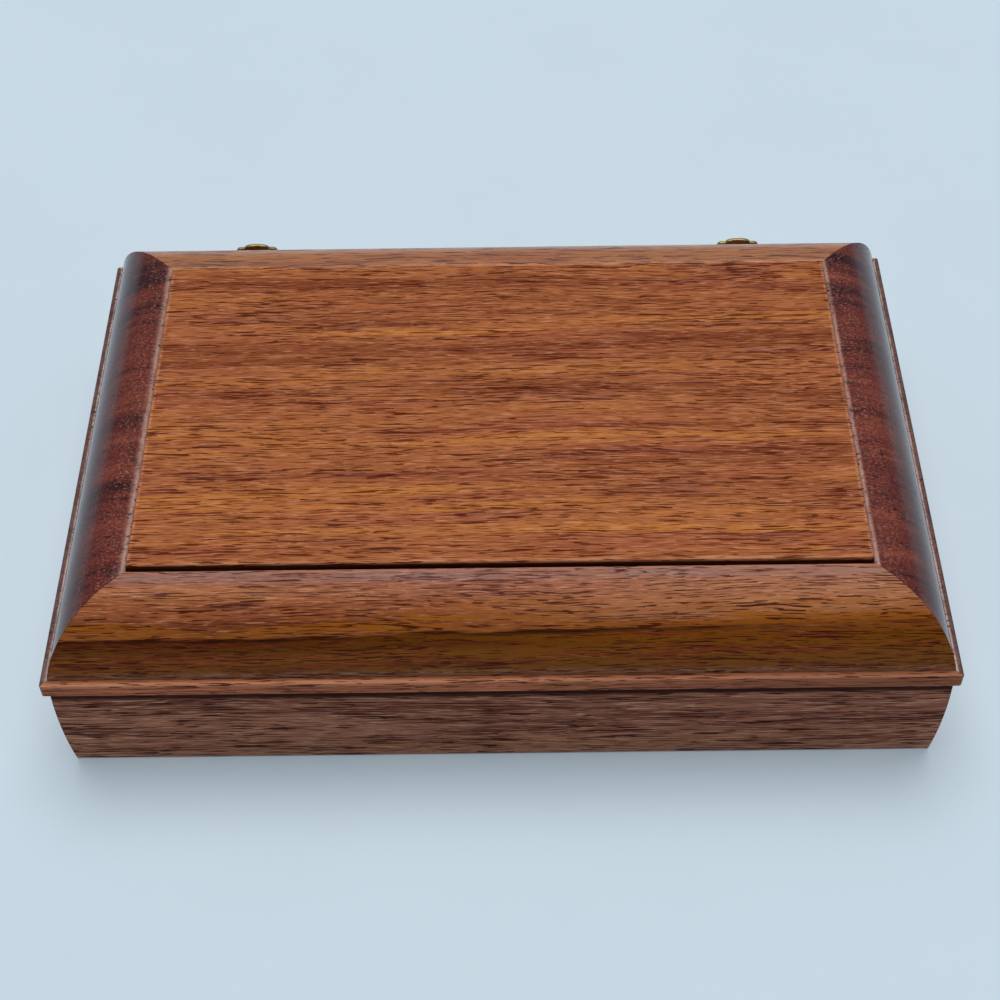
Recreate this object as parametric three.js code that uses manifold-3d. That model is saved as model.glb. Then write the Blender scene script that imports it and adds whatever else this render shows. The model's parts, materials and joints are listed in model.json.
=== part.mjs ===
// A keepsake box of mitred hardwood: four softly bellied base boards round a flat bottom,
// a lid frame of four moulded rails round a raised flat panel, and two brass hinges at the back.
// Millimetres. +X to the right, +Y to the back, +Z up. The origin is the middle of the underside.
import * as THREE from "three";
import { mergeVertices } from "three/addons/utils/BufferGeometryUtils.js";
import Module from "manifold-3d";

const wasm = await Module();
wasm.setup();

// Overall sizes, measured over the lid's lip
const boxWidth = 254;
const boxDepth = 169.5;
const baseHeight = 36.1;
const lidGap = 0.3;
const wallInset = 12; // lip edge to the inner wall, alike in the lid and the base

// Fits
const mitreGap = 0.1;
const seatGap = 0.1;
const cutOverrun = 2;
const mergeDistance = 0.001;

// Lid rail section
const railHeight = 24.8;
const lipHeight = 4.5;
const lipRound = 0.8;
const ledgeWidth = 2.1;
const crownReach = 18.9; // across the moulding, from the ledge to where the top runs flat
const crownStart = THREE.MathUtils.degToRad(15); // where on its ellipse the moulding leaves the ledge
const topFlat = 3.3;
const topArris = 1;
const seatWidth = 4;
const shelfThickness = 5.4; // wood left under the panel
const coveRadius = 3;
const rimArris = 0.5;

// Lid panel
const panelThickness = 6;
const panelProud = 1.5;
const panelGap = 0.6;
const panelArris = 0.6;

// Base board section
const bellyInset = 1.45; // lip edge to the widest line of the base
const bellyHeight = 25;
const bellyRadius = 260;
const footRound = 1.2;

// Bottom panel
const bottomThickness = 5;
const bottomRebate = 5;
const bottomGap = 0.2;

// Hinges
const hingeFromSide = 47.8; // side of the lid to the middle of a hinge
const hingeWidth = 13.6;
const leafThickness = 1;
const shoulderHeight = 14.1; // pin line to the shoulders of a leaf
const shoulderRound = 1.6;
const lobeWidth = 7.8;
const lobeRise = 1.3;
const knuckleGap = 0.3;
const seamGap = 0.2; // left open where the rolled knuckle comes back to its leaf
const pinRadius = 1;
const pinPlay = 0.1;
const pinDome = 0.4;
const pinInset = 0.4; // lip edge to the pin line
const letInGap = 0.3;

// Hinge screws
const screwHeight = 5.4; // pin line to the screws
const screwSpacing = 7.2;
const screwLength = 6.5;
const screwTaper = 2;
const screwTip = 0.2;
const shankRadius = 0.95;
const headRadius = 1.7;
const headDepth = 0.8;
const screwClearance = 0.15;
const slotWidth = 0.5;
const slotDepth = 0.4;
const slotTurns = [20, -35, 70, 5].map(THREE.MathUtils.degToRad);

// Facets
const curveFacets = 8;
const roundFacets = 24;

// Worked out from the sizes above
const lidBottom = baseHeight + lidGap;
const lidTop = lidBottom + railHeight;
const pinHeight = baseHeight + lidGap / 2;
const railReach = ledgeWidth + crownReach + topFlat; // lip edge to the rebate for the panel
const knuckleLength = (hingeWidth - 2 * knuckleGap) / 3;
const knucklePitch = knuckleLength + knuckleGap;
const boreRadius = pinRadius + pinPlay;
const knuckleRadius = boreRadius + leafThickness;

const finishes = {
  rail: { color: 0x7c4632, roughness: 0.38, metalness: 0 },
  panel: { color: 0x9a5e37, roughness: 0.42, metalness: 0 },
  board: { color: 0x55301f, roughness: 0.45, metalness: 0 },
  bottom: { color: 0x6d4a30, roughness: 0.7, metalness: 0 },
  brass: { color: 0xb08d4a, roughness: 0.35, metalness: 1 },
  screw: { color: 0xb89a5c, roughness: 0.3, metalness: 1 },
};

function piece(name, finish, geometry) {
  const made = new THREE.Mesh(geometry, new THREE.MeshStandardMaterial(finishes[finish]));
  made.name = name;
  return made;
}

function solidOf(geometry) {
  geometry.deleteAttribute("normal");
  geometry.deleteAttribute("uv");
  const merged = mergeVertices(geometry, mergeDistance);
  const vertProperties = merged.getAttribute("position").array;
  const triVerts = new Uint32Array(merged.index.array);
  return new wasm.Manifold(new wasm.Mesh({ numProp: 3, vertProperties, triVerts }));
}

function geometryOf(solid) {
  const mesh = solid.getMesh();
  const geometry = new THREE.BufferGeometry();
  geometry.setAttribute("position", new THREE.BufferAttribute(mesh.vertProperties, 3));
  geometry.setIndex(new THREE.BufferAttribute(mesh.triVerts, 1));
  geometry.computeVertexNormals();
  return geometry;
}

function cutAway(geometry, cutters) {
  const cut = cutters.reduce((left, cutter) => left.subtract(solidOf(cutter)), solidOf(geometry));
  return geometryOf(cut);
}

// Sections of the wood, drawn as inset from the lip edge and height above the table

function railSection() {
  const section = new THREE.Shape();
  const ledge = lidBottom + lipHeight;
  const shelfTop = lidTop + panelProud - panelThickness - seatGap;
  const shelfBottom = shelfTop - shelfThickness;
  const across = crownReach / Math.cos(crownStart);
  const up = (lidTop - ledge) / (1 - Math.sin(crownStart));
  section.moveTo(0, lidBottom);
  section.lineTo(wallInset - rimArris, lidBottom);
  section.quadraticCurveTo(wallInset, lidBottom, wallInset, lidBottom + rimArris);
  section.lineTo(wallInset, shelfBottom - coveRadius);
  section.quadraticCurveTo(wallInset, shelfBottom, wallInset + coveRadius, shelfBottom);
  section.lineTo(railReach + seatWidth, shelfBottom);
  section.lineTo(railReach + seatWidth, shelfTop);
  section.lineTo(railReach, shelfTop);
  section.lineTo(railReach, lidTop - topArris);
  section.quadraticCurveTo(railReach, lidTop, railReach - topArris, lidTop);
  section.lineTo(ledgeWidth + crownReach, lidTop);
  section.absellipse(
    ledgeWidth + crownReach, lidTop - up, across, up, Math.PI / 2, Math.PI - crownStart, false,
  );
  section.lineTo(lipRound, ledge);
  section.quadraticCurveTo(0, ledge, 0, ledge - lipRound);
  return section;
}

function bellyInsetAt(height) {
  const above = height - bellyHeight;
  return bellyInset + bellyRadius - Math.sqrt(bellyRadius ** 2 - above ** 2);
}

function boardSection() {
  const section = new THREE.Shape();
  const foot = bellyInsetAt(0);
  const rim = bellyInsetAt(baseHeight);
  const rimAngle = Math.asin((baseHeight - rimArris - bellyHeight) / bellyRadius);
  const footAngle = Math.asin((bellyHeight - footRound) / bellyRadius);
  section.moveTo(foot + footRound, 0);
  section.lineTo(wallInset - bottomRebate, 0);
  section.lineTo(wallInset - bottomRebate, bottomThickness + seatGap);
  section.lineTo(wallInset, bottomThickness + seatGap);
  section.lineTo(wallInset, baseHeight - rimArris);
  section.quadraticCurveTo(wallInset, baseHeight, wallInset - rimArris, baseHeight);
  section.lineTo(rim + rimArris, baseHeight);
  section.quadraticCurveTo(rim, baseHeight, bellyInsetAt(baseHeight - rimArris), baseHeight - rimArris);
  section.absarc(
    bellyInset + bellyRadius, bellyHeight, bellyRadius, Math.PI - rimAngle, Math.PI + footAngle, false,
  );
  section.quadraticCurveTo(foot, 0, foot + footRound, 0);
  return section;
}

// A section run along one side, sheared at both ends to the mitre.
// The result lies along X, with the inset along Y.
function mitredLength(section, sideLength) {
  const settings = { depth: 1, steps: 1, bevelEnabled: false, curveSegments: curveFacets };
  const length = new THREE.ExtrudeGeometry(section, settings);
  const points = length.getAttribute("position");
  for (let i = 0; i < points.count; i++) {
    const inset = points.getX(i);
    const endShare = points.getZ(i) - 1 / 2;
    const along = endShare * (sideLength - 2 * inset - mitreGap);
    points.setXYZ(i, along, inset, points.getY(i));
  }
  return length;
}

// The four sides of the box. Each is worked on lying along X, then turned to its place.
const sides = [
  { side: "front", turn: 0, sideLength: boxWidth, distance: boxDepth / 2 },
  { side: "right", turn: Math.PI / 2, sideLength: boxDepth, distance: boxWidth / 2 },
  { side: "back", turn: Math.PI, sideLength: boxWidth, distance: boxDepth / 2 },
  { side: "left", turn: -Math.PI / 2, sideLength: boxDepth, distance: boxWidth / 2 },
];

function placedSide({ turn, distance }, ...pieces) {
  const shifted = new THREE.Group();
  shifted.position.y = -distance;
  shifted.add(...pieces);
  const turned = new THREE.Group();
  turned.rotation.z = turn;
  turned.add(shifted);
  return turned;
}

// Flat boards

function arrisedBoard(width, depth, thickness, arris) {
  const outline = new THREE.Shape();
  outline.moveTo(-width / 2, 0);
  outline.lineTo(width / 2, 0);
  outline.lineTo(width / 2, thickness - arris);
  outline.quadraticCurveTo(width / 2, thickness, width / 2 - arris, thickness);
  outline.lineTo(-width / 2 + arris, thickness);
  outline.quadraticCurveTo(-width / 2, thickness, -width / 2, thickness - arris);
  const settings = { depth, bevelEnabled: false, curveSegments: curveFacets };
  const alongDepth = new THREE.ExtrudeGeometry(outline, settings);
  alongDepth.rotateX(Math.PI / 2);
  alongDepth.translate(0, depth / 2, 0);
  return alongDepth;
}

function lidPanel() {
  const width = boxWidth - 2 * (railReach + panelGap);
  const depth = boxDepth - 2 * (railReach + panelGap);
  const lengthwise = solidOf(arrisedBoard(width, depth, panelThickness, panelArris));
  const turned = arrisedBoard(depth, width, panelThickness, panelArris).rotateZ(Math.PI / 2);
  const panel = piece("lid_panel", "panel", geometryOf(lengthwise.intersect(solidOf(turned))));
  panel.position.z = lidTop + panelProud - panelThickness;
  return panel;
}

function bottomPanel() {
  const edgeInset = wallInset - bottomRebate + bottomGap;
  const width = boxWidth - 2 * edgeInset;
  const depth = boxDepth - 2 * edgeInset;
  const panel = piece("bottom_panel", "bottom", new THREE.BoxGeometry(width, depth, bottomThickness));
  panel.position.z = bottomThickness / 2;
  return panel;
}

// Hinge parts, drawn about the middle of the pin: X along it, Y into the wood, Z up the leaf

function leafOutline(clearance) {
  const side = hingeWidth / 2 + clearance;
  const shoulder = shoulderHeight + clearance;
  const lobe = lobeWidth / 2 + clearance;
  const outline = new THREE.Shape();
  outline.moveTo(-side, 0);
  outline.lineTo(side, 0);
  outline.lineTo(side, shoulder - shoulderRound);
  outline.quadraticCurveTo(side, shoulder, side - shoulderRound, shoulder);
  outline.lineTo(lobe, shoulder);
  outline.absellipse(0, shoulder, lobe, lobeRise, 0, Math.PI, false);
  outline.lineTo(shoulderRound - side, shoulder);
  outline.quadraticCurveTo(-side, shoulder, -side, shoulder - shoulderRound);
  return outline;
}

function upright(outline, thickness) {
  const settings = { depth: thickness, bevelEnabled: false, curveSegments: curveFacets };
  return new THREE.ExtrudeGeometry(outline, settings).rotateX(Math.PI / 2);
}

function knuckleWindow(middle) {
  const height = cutOverrun + knuckleRadius + knuckleGap;
  const width = knuckleLength + 2 * knuckleGap;
  const window = new THREE.BoxGeometry(width, 2 * (knuckleRadius + cutOverrun), height);
  return window.translate(middle, 0, height / 2 - cutOverrun);
}

function screwPlaces() {
  return [-screwSpacing / 2, screwSpacing / 2];
}

// Turns a section drawn as Y and Z, with its length after them, to lie along the pin
const sectionToPin = new THREE.Matrix4().makeBasis(
  new THREE.Vector3(0, 1, 0), new THREE.Vector3(0, 0, 1), new THREE.Vector3(1, 0, 0),
);

// The leaf's end rolled round the pin. The outer face of the leaf is a tangent of the bore.
function rolledKnuckle(middle) {
  const seam = Math.acos((boreRadius - seamGap) / knuckleRadius);
  const hook = new THREE.Shape();
  hook.moveTo(knuckleRadius, knuckleGap);
  hook.lineTo(boreRadius, knuckleGap);
  hook.absarc(0, 0, boreRadius, 0, seam, true);
  hook.absarc(0, 0, knuckleRadius, seam, 0, false);
  const settings = { depth: knuckleLength, bevelEnabled: false, curveSegments: curveFacets };
  const length = new THREE.ExtrudeGeometry(hook, settings);
  return length.applyMatrix4(sectionToPin).translate(middle - knuckleLength / 2, 0, 0);
}

// A leaf with its own knuckles at some places along the pin, and windows for the other leaf's
function hingeLeaf(ownPlaces, otherPlaces) {
  let leaf = solidOf(upright(leafOutline(0), leafThickness).translate(0, knuckleRadius, 0));
  for (const place of otherPlaces) {
    leaf = leaf.subtract(solidOf(knuckleWindow(place)));
  }
  for (const place of ownPlaces) {
    leaf = leaf.add(solidOf(rolledKnuckle(place)));
  }
  for (const place of screwPlaces()) {
    leaf = leaf.subtract(solidOf(screwHole().translate(place, boreRadius, screwHeight)));
  }
  return geometryOf(leaf);
}

function hingePin() {
  const half = hingeWidth / 2;
  const profile = new THREE.Path();
  profile.moveTo(0, -half - pinDome);
  profile.quadraticCurveTo(pinRadius, -half - pinDome, pinRadius, -half);
  profile.lineTo(pinRadius, half);
  profile.quadraticCurveTo(pinRadius, half + pinDome, 0, half + pinDome);
  return new THREE.LatheGeometry(profile.getPoints(curveFacets), roundFacets).rotateZ(Math.PI / 2);
}

// The outline of a countersunk screw, from the face of its head into the wood
function screwProfile(clearance) {
  const taperStart = screwLength - screwTaper;
  return [
    new THREE.Vector2(headRadius + clearance, 0),
    new THREE.Vector2(shankRadius + clearance, headDepth),
    new THREE.Vector2(shankRadius + clearance, taperStart),
    new THREE.Vector2(screwTip + clearance, screwLength + clearance),
    new THREE.Vector2(0, screwLength + clearance),
  ];
}

function screwHole() {
  const mouth = [
    new THREE.Vector2(0, -cutOverrun),
    new THREE.Vector2(headRadius + screwClearance, -cutOverrun),
  ];
  return new THREE.LatheGeometry([...mouth, ...screwProfile(screwClearance)], roundFacets);
}

function slottedScrew(slotTurn) {
  const profile = [new THREE.Vector2(0, 0), ...screwProfile(0)];
  const slot = new THREE.BoxGeometry(2 * (headRadius + cutOverrun), 2 * slotDepth, slotWidth);
  return cutAway(new THREE.LatheGeometry(profile, roundFacets), [slot.rotateY(slotTurn)]);
}

function leafScrews(names, slotStart) {
  return screwPlaces().map((place, i) => {
    const screw = piece(names[i], "screw", slottedScrew(slotTurns[slotStart + i]));
    screw.position.set(place, boreRadius, screwHeight);
    return screw;
  });
}

// Where the back side is worked on, the lip edge is Y zero and the hinge line is the pin's height
const hinges = [
  { name: "left_hinge", along: boxWidth / 2 - hingeFromSide },
  { name: "right_hinge", along: hingeFromSide - boxWidth / 2 },
];

// What a leaf and its screws take out of the wood: up the lid, or turned down the base
function hingeRecess(along, turn) {
  const leafBed = knuckleRadius + seatGap + pinInset + cutOverrun;
  const bed = upright(leafOutline(letInGap), leafBed).translate(0, knuckleRadius + seatGap, 0);
  const barrelRadius = knuckleRadius + seatGap;
  const barrelLength = hingeWidth + 2 * (pinDome + letInGap);
  const barrelBed = new THREE.CylinderGeometry(barrelRadius, barrelRadius, barrelLength, roundFacets);
  barrelBed.rotateZ(Math.PI / 2);
  const holes = screwPlaces().map((place) => screwHole().translate(place, boreRadius, screwHeight));
  const cutters = [bed, barrelBed, ...holes];
  return cutters.map((cutter) => cutter.rotateY(turn).translate(along, pinInset, pinHeight));
}

function backRail(rail) {
  return cutAway(rail, hinges.flatMap(({ along }) => hingeRecess(along, 0)));
}

function backBoard(board) {
  return cutAway(board, hinges.flatMap(({ along }) => hingeRecess(along, Math.PI)));
}

function atHinge(along, turn, ...pieces) {
  const place = new THREE.Group();
  place.position.set(along, pinInset, pinHeight);
  place.rotation.y = turn;
  place.add(...pieces);
  return place;
}

function lidHinge({ name, along }) {
  const leaf = hingeLeaf([0], [-knucklePitch, knucklePitch]);
  const screws = leafScrews([`${name}_lid_screw_1`, `${name}_lid_screw_2`], 0);
  return atHinge(along, 0, piece(`${name}_lid_leaf`, "brass", leaf), ...screws);
}

function baseHinge({ name, along }) {
  const leaf = hingeLeaf([-knucklePitch, knucklePitch], [0]);
  const screws = leafScrews([`${name}_base_screw_1`, `${name}_base_screw_2`], 2);
  const pin = piece(`${name}_pin`, "screw", hingePin());
  return atHinge(along, Math.PI, piece(`${name}_base_leaf`, "brass", leaf), pin, ...screws);
}

function base() {
  const group = new THREE.Group();
  for (const place of sides) {
    const plain = mitredLength(boardSection(), place.sideLength);
    const isBack = place.side === "back";
    const board = piece(`base_${place.side}_board`, "board", isBack ? backBoard(plain) : plain);
    group.add(placedSide(place, board, ...(isBack ? hinges.map(baseHinge) : [])));
  }
  group.add(bottomPanel());
  return group;
}

function lid() {
  const group = new THREE.Group();
  for (const place of sides) {
    const plain = mitredLength(railSection(), place.sideLength);
    const isBack = place.side === "back";
    const rail = piece(`lid_${place.side}_rail`, "rail", isBack ? backRail(plain) : plain);
    group.add(placedSide(place, rail, ...(isBack ? hinges.map(lidHinge) : [])));
  }
  group.add(lidPanel());
  return group;
}

const box = new THREE.Group();
box.add(base(), lid());

export default box;
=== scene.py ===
import json
import math
import bmesh
import bpy
from mathutils import Matrix, Vector

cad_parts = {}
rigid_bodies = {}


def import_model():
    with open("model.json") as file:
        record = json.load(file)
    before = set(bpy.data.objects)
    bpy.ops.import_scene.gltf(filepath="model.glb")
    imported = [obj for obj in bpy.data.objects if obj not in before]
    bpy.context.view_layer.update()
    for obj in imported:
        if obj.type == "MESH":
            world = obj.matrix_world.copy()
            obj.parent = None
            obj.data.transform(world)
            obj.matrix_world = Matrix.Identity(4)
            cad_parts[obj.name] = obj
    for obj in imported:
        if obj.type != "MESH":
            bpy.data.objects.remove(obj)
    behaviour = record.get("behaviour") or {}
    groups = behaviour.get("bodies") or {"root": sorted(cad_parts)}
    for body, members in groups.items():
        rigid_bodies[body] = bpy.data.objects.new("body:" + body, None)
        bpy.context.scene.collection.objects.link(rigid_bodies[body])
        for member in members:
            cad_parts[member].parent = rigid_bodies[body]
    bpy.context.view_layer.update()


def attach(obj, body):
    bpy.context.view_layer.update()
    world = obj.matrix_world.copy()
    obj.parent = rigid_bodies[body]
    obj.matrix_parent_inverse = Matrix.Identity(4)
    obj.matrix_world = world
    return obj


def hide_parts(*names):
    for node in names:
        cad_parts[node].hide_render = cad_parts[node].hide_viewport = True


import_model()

# A keepsake box of mitred hardwood with a moulded lid, a raised panel and two let-in brass hinges.
# Sizes are in millimetres and turned to metres where a mesh is made.
# +X to the right, +Y to the back, +Z up, and the origin is the middle of the underside.
mm = 0.001
hair = 0.01   # a length too small to show

boxSizes = {
    "width": 254,
    "depth": 169.5,
    "baseHeight": 36.1,
    "lidGap": 0.3,
    "wallInset": 12,       # lip edge to the inner wall
    "mitreGap": 0.1,
    "seatGap": 0.1,
}
lidBottom = boxSizes["baseHeight"] + boxSizes["lidGap"]
pinHeight = boxSizes["baseHeight"] + boxSizes["lidGap"] / 2

sides = {
    "front": {"turn": 0, "length": boxSizes["width"], "distance": boxSizes["depth"] / 2},
    "right": {"turn": 90, "length": boxSizes["depth"], "distance": boxSizes["width"] / 2},
    "back": {"turn": 180, "length": boxSizes["width"], "distance": boxSizes["depth"] / 2},
    "left": {"turn": -90, "length": boxSizes["depth"], "distance": boxSizes["width"] / 2},
}


# Nodes

def addNode(tree, kind, inputs=None, **settings):
    node = tree.nodes.new(kind)
    for key, value in settings.items():
        setattr(node, key, value)
    for key, value in (inputs or {}).items():
        socket = node.inputs[key]
        if isinstance(value, bpy.types.NodeSocket):
            tree.links.new(value, socket)
        else:
            socket.default_value = value
    return node


def outOf(tree, kind, inputs=None, **settings):   # the first output of a new node
    return addNode(tree, kind, inputs, **settings).outputs[0]


def newTree(name, kind, inputs, outputs):   # a node group with named sockets, and what it is given
    tree = bpy.data.node_groups.new(name, kind)
    for way, sockets in (("INPUT", inputs), ("OUTPUT", outputs)):
        for socket, socketKind in sockets.items():
            tree.interface.new_socket(socket, in_out=way, socket_type=f"NodeSocket{socketKind}")
    return tree, addNode(tree, "NodeGroupInput").outputs


def treeOf(*values):   # the tree of the first socket among the values
    return next(value.id_data for value in values if isinstance(value, bpy.types.NodeSocket))


def mathNode(operation, first, second=0.0, third=0.0):
    inputs = {0: first, 1: second, 2: third}
    return outOf(treeOf(first, second, third), "ShaderNodeMath", inputs, operation=operation)


def times(first, *others):
    for other in others:
        first = mathNode("MULTIPLY", first, other)
    return first


def plus(first, second):
    return mathNode("ADD", first, second)


def minus(first, second):
    return mathNode("SUBTRACT", first, second)


def timesPlus(value, factor, extra):
    return mathNode("MULTIPLY_ADD", value, factor, extra)


def larger(first, second):
    return mathNode("MAXIMUM", first, second)


def vectorNode(operation, first, second):
    return outOf(treeOf(first, second), "ShaderNodeVectorMath", {0: first, 1: second}, operation=operation)


def partsOf(vector):   # X, Y and Z
    return addNode(treeOf(vector), "ShaderNodeSeparateXYZ", {0: vector}).outputs[:]


def vectorOf(parts):
    return outOf(treeOf(*parts.values()), "ShaderNodeCombineXYZ", parts)


def rise(value, low, high, bottom=0.0, top=1.0):   # smooth step from low to high
    inputs = {"Value": value, "From Min": low, "From Max": high, "To Min": bottom, "To Max": top}
    return outOf(treeOf(*inputs.values()), "ShaderNodeMapRange", inputs, interpolation_type="SMOOTHSTEP")


def blend(share, first, second, kind="MIX"):
    inputs = {0: share, 6: first, 7: second}
    return addNode(treeOf(share), "ShaderNodeMix", inputs, data_type="RGBA", blend_type=kind).outputs[2]


def linearTone(tone):   # a screen colour of 0 to 255 as the renderer's linear colour
    shares = [part / 255 for part in tone]
    return tuple(s / 12.92 if s <= 0.04045 else ((s + 0.055) / 1.055) ** 2.4 for s in shares) + (1.0,)


def tint(share, colour, tone, kind="MIX"):
    return blend(share, colour, linearTone(tone), kind)


def grain(place, size, detail=2.0, roughness=0.5, output=0):   # noise stretched to a size
    stretched = vectorNode("DIVIDE", place, size)
    inputs = {"Vector": stretched, "Scale": 1.0, "Detail": detail, "Roughness": roughness}
    return addNode(treeOf(place), "ShaderNodeTexNoise", inputs).outputs[output]


def patchy(place, look, *shares):   # grain of a size, detail and roughness, stepped between limits
    size, detail, roughness, limits = look
    return rise(grain(place, size, detail, roughness), *limits, *shares)


def stepped(limits, *factors, **values):   # factors times a smooth step of each value at its own limits
    return times(*factors, *(rise(value, *limits[name]) for name, value in values.items()))


def startMaterial(name):   # with the place in millimetres
    material = bpy.data.materials.new(name)
    material.use_nodes = True
    tree = material.node_tree
    tree.nodes.clear()
    where = addNode(tree, "ShaderNodeTexCoord").outputs["Object"]
    place = outOf(tree, "ShaderNodeMapping", {"Vector": where, "Scale": (1 / mm,) * 3})
    return material, tree, place


def endMaterial(tree, height, strength, depth, inputs):
    relief = {"Height": height, "Strength": strength, "Distance": depth * mm}
    inputs["Normal"] = outOf(tree, "ShaderNodeBump", relief)
    shader = outOf(tree, "ShaderNodeBsdfPrincipled", inputs)
    addNode(tree, "ShaderNodeOutputMaterial", {"Surface": shader})


railShape = {
    "height": 24.8,
    "lipHeight": 4.5,
    "lipRound": 0.8,
    "lipUnder": 0.3,
    "ledgeWidth": 2.1,
    "crownReach": 18.9,
    "crownStart": 15,       # degrees
    "topFlat": 3.3,
    "topArris": 1,
    "seatWidth": 4,
    "shelfThickness": 5.4,
    "cove": 3,
    "rimArris": 0.5,
    "crownSteps": 40,
    "cornerRound": 1.2,
}
railReach = railShape["ledgeWidth"] + railShape["crownReach"] + railShape["topFlat"]


# Wood

figureColours = ("Ground", "Gold", "Red", "Purple", "Dark", "Pale")
figureSizes = {   # along the grain, then across it twice
    "Waviness": (0, 5, 5),
    "Band size": (240, 7, 7),
    "Patch size": (70, 7, 7),
    "Cluster size": (42, 4, 4),
    "Pore size": (17, 0.45, 0.45),
    "Dash size": (9, 0.36, 0.36),
    "Fibre size": (5, 0.24, 0.24),
}
figureShares = {
    "Gold share": 0.75,
    "Red share": 0.55,
    "Dark share": 0.6,
    "Purple share": 0.55,
    "Pore share": 0.9,
    "Dash share": 0.7,
    "Fibre share": 0.4,
    "Pore level": 0.62,
    "Dash level": 0.6,
}
figureForm = {   # what all the woods share
    "sway": (80, 28, 28),
    "ripple": (11, 5, 5),
    "rippleReach": (0, 0.7, 0.7),
    "secondPlace": (410, 37, 53),
    "thirdPlace": (-230, 91, -67),
    "bands": (5.0, 0.68),          # detail and roughness
    "patches": (3.0, 0.6),
    "fibres": (2.0, 0.6),
    "pores": (1.0, 0.4),
    "poreEdge": 0.016,
    "clusters": (0.38, 0.64, 0.04, -0.03),
    "fibreRelief": 0.3,
    "poreRelief": -1.0,
}


def makeHardwood():
    sockets = {"Place": "Vector"} | dict.fromkeys(figureColours, "Color")
    sockets |= dict.fromkeys(figureSizes, "Vector") | dict.fromkeys(figureShares, "Float")
    made = {"Colour": "Color", "Pores": "Float", "Depth": "Float"}
    tree, given = newTree("hardwoodFigure", "ShaderNodeTree", sockets, made)
    form = figureForm

    def moved(place, size, reach):   # a place pushed about by a slow noise
        push = grain(given["Place"], size, 1.0, output=1)
        push = vectorNode("SUBTRACT", push, (0.5, 0.5, 0.5))
        return vectorNode("ADD", place, vectorNode("MULTIPLY", push, reach))

    swayed = moved(given["Place"], form["sway"], given["Waviness"])
    place = moved(swayed, form["ripple"], form["rippleReach"])
    second = vectorNode("ADD", place, form["secondPlace"])
    third = vectorNode("ADD", place, form["thirdPlace"])
    bands = grain(place, given["Band size"], *form["bands"])
    patches = grain(swayed, given["Patch size"], *form["patches"])
    blush = grain(second, given["Cluster size"], *form["patches"])
    fibres = grain(place, given["Fibre size"], *form["fibres"])
    clusters = rise(blush, *form["clusters"])

    def streaks(spot, kind):   # ragged and dark, where a stretched noise peaks
        level = plus(given[f"{kind} level"], clusters)
        peaks = grain(spot, given[f"{kind} size"], *form["pores"])
        peaks = rise(peaks, level, plus(level, form["poreEdge"]))
        return times(peaks, given[f"{kind} share"])

    opened = larger(streaks(second, "Pore"), streaks(third, "Dash"))
    layers = (   # the noise and its limits, the share and the colour
        (patches, (0.45, 0.65), "Red share", "Red"),
        (bands, (0.5, 0.34), "Gold share", "Gold"),
        (bands, (0.5, 0.66), "Dark share", "Dark"),
        (blush, (0.56, 0.7), "Purple share", "Purple"),
        (fibres, (0.52, 0.7), "Fibre share", "Pale"),
        (fibres, (0.48, 0.3), "Fibre share", "Dark"),
    )
    colour = given["Ground"]
    for noise, limits, share, tone in layers:
        colour = blend(times(rise(noise, *limits), given[share]), colour, given[tone])
    relief = timesPlus(fibres, form["fibreRelief"], times(opened, form["poreRelief"]))
    addNode(tree, "NodeGroupOutput", {"Colour": colour, "Pores": opened, "Depth": relief})
    return tree


hardwood = makeHardwood()

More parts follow.
